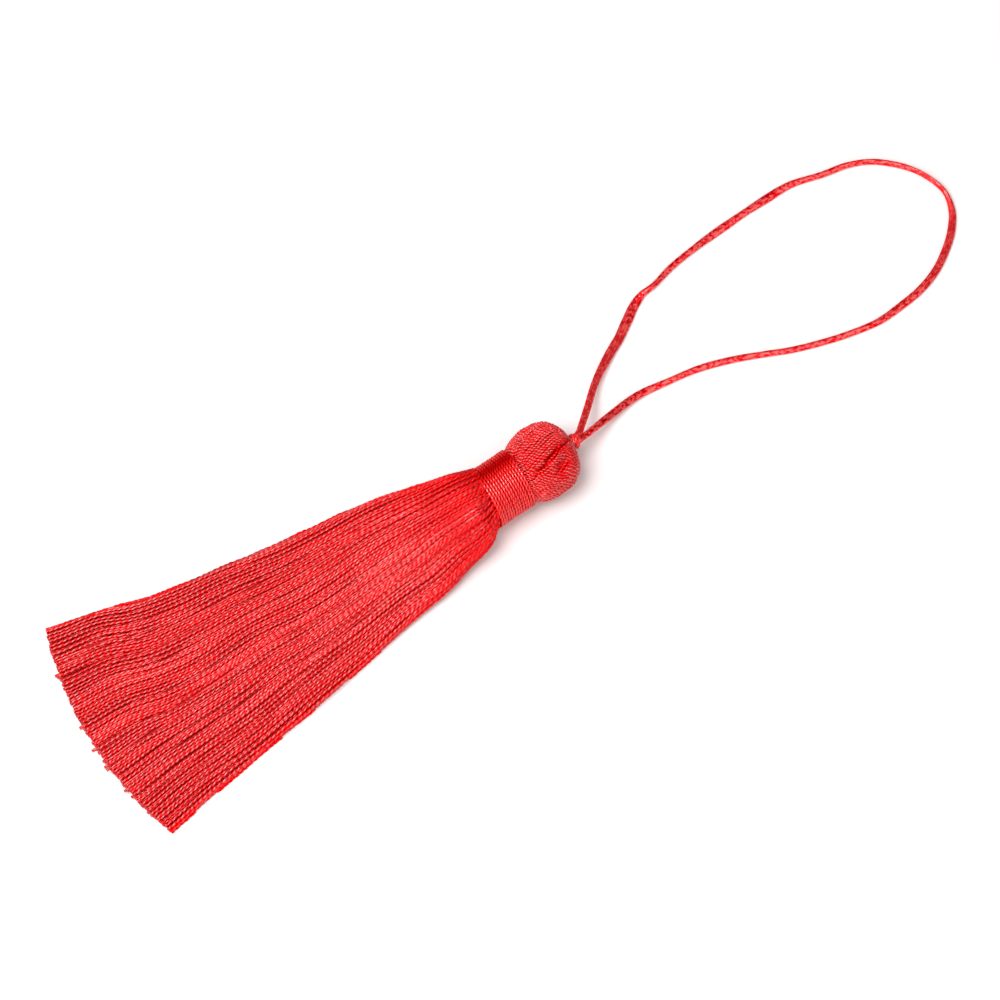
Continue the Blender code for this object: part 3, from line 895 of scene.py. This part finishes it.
def inside_paths():
    """Rows of threads between the top and the underside, kept where the cut edge has room.

    A thread keeps its share of the half width and its depth below the top from end to end.
    """
    rng = np.random.default_rng(13)
    along = np.linspace(INSIDE_FROM, SKIRT_LENGTH, int((SKIRT_LENGTH - INSIDE_FROM) / INSIDE_STEP))
    left, right, crown, shoulder, belly, hem = skirt_sizes(along).T
    columns = int((left[-1] + right[-1]) / THREAD_SPACING)
    share = np.tile(np.linspace(-0.975, 0.975, columns), (INSIDE_ROWS, 1))
    share = share + np.arange(INSIDE_ROWS)[:, None] % 2 / columns
    row = np.repeat(np.arange(INSIDE_ROWS), columns) + 1
    share = np.clip(share.ravel(), -INSIDE_REACH, INSIDE_REACH)[:, None]
    rounding = np.sqrt(1 - share**2)
    half = np.where(share > 0, left, right)
    top = shoulder + (crown - shoulder) * rounding - YARN_RADIUS
    bottom = hem + (belly - hem) * rounding + YARN_RADIUS
    room = (top - bottom)[:, -1]
    depth = row * LAYER_DEPTH + FIRST_ROW_DROP
    kept = room - depth > 0.6 * LAYER_DEPTH
    y = (half - YARN_RADIUS) * share + wander(rng, len(share), along, (10 * MM, 30 * MM), 0.05 * MM)
    z = top - depth[:, None]
    x = ROOT_X - along + bow(y, np.maximum(along, 0.0))
    paths = np.stack(np.broadcast_arrays(x, y, z), axis=-1)[kept]
    return stretched(paths, uneven_ends(rng, len(paths)), 8 * MM)


def add_inside():
    rng = np.random.default_rng(14)
    paths = inside_paths()
    rings = plain(paths, np.broadcast_to((0.0, 0.0, 1.0), paths.shape))
    dye = rng.normal(0.0, 0.35, (len(paths), 1, 1)).clip(-1, 1)
    add_piece("skirt_inside", "yarn_hank", rings, -1 / YARN_PITCH, groove=0.0, dye=dye)


add_inside()

# %% [markdown]
# ## The head
# The hank is folded over the cord and tied below the fold, so its threads run over a round head
# from the collar to the neck, like meridians on a globe. Where the folded yarn parts, one lobe
# closes over the next: a crease with one steep side and one gentle one.

# %% Shape of the head
HEAD_RADIUS = 5.45 * MM
HEAD_FRONT = 4.85 * MM  # from the widest ring to the collar
HEAD_FRONT_POWER = 2.6  # of the superellipse that rounds the front
HEAD_BACK = 5.9 * MM  # half length of the ellipse that rounds the back
HEAD_LEAN = math.radians(-2.5) / MM  # turn of the threads round X for each length along it
HEAD_THREADS = 76
HEAD_YARN = 1.15 * YARN_RADIUS  # radius of a thread there, which is a little thicker
OUTWARD_LEAN = 0.8  # of the outward direction, one radius from the widest ring
HEAD_RING_STEP = 0.15 * MM


class Crease(NamedTuple):
    """A crease between two lobes of the head."""
    angle: float  # degrees round X from +Y, at the widest ring
    depth: float  # millimetres, and below zero for a lobe that stands out
    steep: float  # width in degrees on the side of the smaller angles
    gentle: float  # and on the other side
    start: float  # X between which it runs, in millimetres
    end: float
    shade: float  # painted shade: share of light kept out; below zero, painted light where it stands out


CREASES = (
    Crease(107.3, 0.85, 2.4, 4.5, -3.4, 9.0, 0.8),
    Crease(110.0, 0.35, 6.0, 7.0, -1.6, 9.0, 0.1),
    Crease(133.0, 0.95, 8.0, 10.0, -0.6, 3.6, 0.35),
    Crease(117.0, -0.4, 4.0, 5.0, -0.9, 2.6, -0.2),
    Crease(-60.0, 0.7, 6.0, 9.0, 0.8, 9.0, 0.5),
    Crease(-112.5, 0.4, 8.0, 8.0, 1.2, 9.0, 0.4),
)
CREASE_BEND = 3.5  # degrees that they turn aside behind the widest ring
BEND_START, BEND_OVER = 0.4, 1.2  # X where they begin to, and the length it takes, in millimetres
CREASE_FADE = 1.8  # millimetres over which a crease fades at either end


def head_line():
    """Evenly spaced X and radius from the collar over the head to the neck.

    In front of the widest ring it is a superellipse: X and the radius go with the cosine and the
    sine, to the power of two over the superellipse's. Behind it is an ellipse.
    """
    front = np.radians(np.linspace(5.0, 90.0, 200))
    power = 2.0 / HEAD_FRONT_POWER
    back = np.radians(np.linspace(0.0, 45.0, 100))[1:]
    x = np.concatenate([HEAD_FRONT * np.cos(front) ** power, -HEAD_BACK * np.sin(back)])
    radius = np.concatenate([HEAD_RADIUS * np.sin(front) ** power, HEAD_RADIUS * np.cos(back)])
    line = np.column_stack([np.nan_to_num(x), radius])
    return evenly(line, int(distance_along(line)[-1] / HEAD_RING_STEP))


def creased(x, angle):
    """How far each point of the head is drawn in, and what share of its light is kept out, as
    painted shade.

    A crease is a bell of the angle, steeper on one side, that fades in and out along X. Their
    depths add up, and the shares of light that they let through are multiplied.
    """
    depth = np.zeros(np.broadcast_shapes(x.shape, angle.shape))
    light = np.ones_like(depth)
    bend = CREASE_BEND * ease((BEND_START - x / MM) / BEND_OVER)
    for crease in CREASES:
        away = (np.degrees(angle) - crease.angle - bend + 180) % 360 - 180
        width = np.where(away < 0, crease.steep, crease.gentle)
        inside = x / MM - crease.start, crease.end - x / MM
        fade = ease(inside[0] / CREASE_FADE) * ease(inside[1] / CREASE_FADE)
        bell = fade * np.exp(-((away / width) ** 2))
        depth = depth + crease.depth * MM * bell
        light = light * (1 - crease.shade * bell)
    return depth, 1 - light


def on_head(x, radius, angle, inward):
    """Points and outward directions on the creased head, `inward` below its surface."""
    reach = radius - creased(x, angle)[0] * np.sqrt(radius / HEAD_RADIUS) - inward
    turned = angle + HEAD_LEAN * x
    y = AXIS_SIDE + AXIS_TURN * x + reach * np.cos(turned)
    z = np.maximum(AXIS_HEIGHT + reach * np.sin(turned), YARN_RADIUS)
    x = np.broadcast_to(x, y.shape)
    lean = (x / HEAD_RADIUS) * OUTWARD_LEAN
    outward = np.stack([lean, np.cos(turned), np.sin(turned)], axis=-1)
    return np.stack([x, y, z], axis=-1), unit(outward)


def add_head():
    rng = np.random.default_rng(21)
    x, radius = head_line().T
    fit = 2 * np.pi * radius / THREAD_SPACING / HEAD_THREADS
    place, layer = room_for(HEAD_THREADS, fit, rng.normal(0.0, 0.05, (HEAD_THREADS, 1)), rng)
    angle = 2 * np.pi * place + wander(rng, HEAD_THREADS, x, (4 * MM, 12 * MM), 0.006)
    inward = HEAD_YARN + layer * LAYER_DEPTH \
        + wander(rng, HEAD_THREADS, x, (2 * MM, 8 * MM), 0.05 * MM)
    paths, outward = on_head(x, radius, angle, inward)
    turned = np.cumsum(rng.normal(0.9, 1.3, (HEAD_THREADS, 1)), axis=0)
    pitch = HEAD_PITCH * (1.0 + rng.normal(0.0, 0.06, (HEAD_THREADS, 1)))
    radius = HEAD_YARN * (1.0 + rng.normal(0.0, 0.05, (HEAD_THREADS, 1)))
    rings, groove = twisted(paths, outward, radius, pitch, turned, HEAD_OFFSET,
                            beside=0.7, between=0.85)
    # Painted shade in the creases: darker grooves and a deeper tone. The head's threads are painted
    # paler than the skirt's, as painted sheen, and given more coat. The sparkle is painted glints.
    shade = creased(x, angle)[1][..., None]
    groove = (1 - (1 - groove) * (1 - shade)).clip(0, 1)
    sparkle = wander(rng, HEAD_THREADS, x, (0.7 * MM, 3 * MM), 1.2)[..., None]
    dye = rng.normal(1.3, 0.5, (HEAD_THREADS, 1, 1)) + sparkle - 2.0 * shade
    add_piece("head_threads", "yarn_hank", rings, groove=groove, dye=dye)


CORE_CORNERS = 64
CORE_DEPTH = 0.62 * MM  # under the head's surface
CORE_RADII = (3.7 * MM, 3.7 * MM, 3.6 * MM)  # along the neck and just past its end
CORE_LEAST = 0.3 * MM  # radius at its end under the collar


def add_core():
    """A closed body of yarn under the head's threads and the binding, so that none see through."""
    x, radius = head_line().T
    x = np.concatenate([x, [NECK_TOP - 2 * MM, NECK_END + MM, NECK_END - 2 * MM]])[::-1, None]
    radius = np.concatenate([radius - CORE_DEPTH, CORE_RADII])[::-1, None]
    points, _ = on_head(x, np.maximum(radius, CORE_LEAST), -angles_round(CORE_CORNERS), 0.0)
    # Painted shade: the core is coloured as if it lay in a groove, deeper and less glossy.
    add_piece("hank_core", "yarn_hank", points[None], groove=0.6, dye=0.0)


add_head()
add_core()

# %% [markdown]
# ## The wound neck and the collar
# The binding is one long thread wound close, turn against turn, and drawn in a little at the
# middle. Its path is a helix, and at both ends it dips under its own turns.

# %% Helices
BINDING_TURNS = 14
BINDING_PITCH = 1.5 * MM  # of the thread's twist
COLLAR_TURNS = 3.2
COLLAR_THREAD = 0.18 * MM  # radius
WOUND_FILL = 1.1  # a wound thread is a little thicker than its turns have room for
TUCK_LENGTH = 1.5 * MM
TUCK_DEPTH = 1.6  # in radii of the thread


def helix(rng, start, end, radius, turns, thread, waist, step, first_turn, uneven):
    """Centres and outward directions of a close winding round the tassel's axis.

    X and the angle run evenly from start to end. The waist draws the radius in most at the
    middle: by one less the square of the distance from there. Each end dips under its turns.
    """
    count = int(2 * np.pi * radius * turns / step)
    share = np.linspace(0.0, 1.0, count)
    angle = 2 * np.pi * (turns * share + first_turn)
    run = share * turns * 2 * np.pi * radius
    x = start + (end - start) * share + wander(rng, 1, run, (5 * MM, 30 * MM), uneven)[0]
    behind, ahead = (part * count * step for part in (share, 1 - share))
    tuck = ease(1 - behind / TUCK_LENGTH) + ease(1 - ahead / TUCK_LENGTH)
    reach = (radius - thread - waist * (1 - (2 * share - 1) ** 2) - TUCK_DEPTH * thread * tuck
             + wander(rng, 1, run, (3 * MM, 20 * MM), uneven)[0])
    outward = np.stack([0 * angle, np.cos(angle), np.sin(angle)], axis=-1)
    centre = np.stack([x, AXIS_SIDE + AXIS_TURN * x, AXIS_HEIGHT + 0 * angle], axis=-1)
    return (centre + reach[:, None] * outward)[None], outward[None]


NECK_DARK_AT = 62.0  # degrees round X from +Y
NECK_DARK_WIDTH = 18.0


def add_binding():
    rng = np.random.default_rng(31)
    thread = (NECK_TOP - NECK_END) / BINDING_TURNS / 2
    paths, outward = helix(rng, NECK_TOP - thread, NECK_END + thread, BINDING_RADIUS,
                           BINDING_TURNS, thread, waist=0.08 * MM, step=0.13 * MM,
                           first_turn=0.62, uneven=0.015 * MM)
    rings, groove = twisted(paths, outward, WOUND_FILL * thread, BINDING_PITCH, 0.0, WOUND_OFFSET)
    # One side gets a deeper colour and darker grooves, as painted shade, where the fibres turn the
    # light away from the viewer.
    angle = np.degrees(np.arctan2(outward[..., 2], outward[..., 1]))
    dark = np.exp(-((angle - NECK_DARK_AT) / NECK_DARK_WIDTH) ** 2)[..., None]
    add_piece("neck_winding", "neck_binding", rings, groove=1 - (1 - groove) * (1 - 0.5 * dark),
              dye=0.3 - 2.4 * dark)


def add_collar():
    rng = np.random.default_rng(32)
    paths, outward = helix(rng, collar_low.x + 0.1 * MM, collar_high.x - COLLAR_THREAD,
                           COLLAR_RADIUS, COLLAR_TURNS, COLLAR_THREAD, waist=0.0,
                           step=0.10 * MM, first_turn=0.6, uneven=0.03 * MM)
    rings, groove = twisted(paths, outward, WOUND_FILL * COLLAR_THREAD, BINDING_PITCH, 0.0,
                            WOUND_OFFSET)
    add_piece("collar_winding", "top_collar", rings, groove=groove, dye=-0.2)


add_binding()
add_collar()

# %% [markdown]
# ## Table and light
# A white table fills the view. A lamp high up on the side of the cut threads gives the shadows
# their direction. A large one on the viewer's side fills them in, a small low one grazes the
# skirt, and a pale surrounding lifts what is left.

# %% Table, lights and view
def add_table():
    mesh = bpy.data.meshes.new("table")
    mesh.from_pydata([(-2, -2, 0), (2, -2, 0), (2, 2, 0), (-2, 2, 0)], [], [(0, 1, 2, 3)])
    material = bpy.data.materials.new("white_table")
    material.use_nodes = True
    set_inputs(material.node_tree.nodes["Principled BSDF"],
               {"Base Color": (0.76, 0.76, 0.76, 1.0), "Roughness": 0.7})
    mesh.materials.append(material)
    into_scene("table", mesh)


def add_light(name, towards, distance, size, power, tint):
    """A square lamp that shines on the tassel from the direction `towards`."""
    data = bpy.data.lights.new(name, "AREA")
    data.shape = "SQUARE"
    data.size = size
    data.energy = power
    data.color = tint
    lamp = into_scene(name, data)
    direction = Vector(towards).normalized()
    lamp.matrix_world = Matrix.Translation(LOOKED_AT + direction * distance) \
        @ direction.to_track_quat("Z", "Y").to_matrix().to_4x4()


add_table()
add_light("key", (-0.336, 0.03, 1.0), distance=0.6, size=0.29, power=3.6, tint=(1.0, 1.0, 1.0))
add_light("fill", (-0.1, -0.6, 0.9), distance=0.8, size=1.0, power=5.2, tint=(1.0, 0.91, 0.89))
add_light("side", (-0.85, 0.2, 0.6), distance=0.7, size=0.2, power=1.0, tint=(1.0, 0.95, 0.92))
world = bpy.data.worlds.new("surroundings")
world.use_nodes = True
set_inputs(world.node_tree.nodes["Background"], {"Color": (1, 0.91, 0.89, 1), "Strength": 0.17})
scene.world = world
scene.view_settings.view_transform = "Standard"
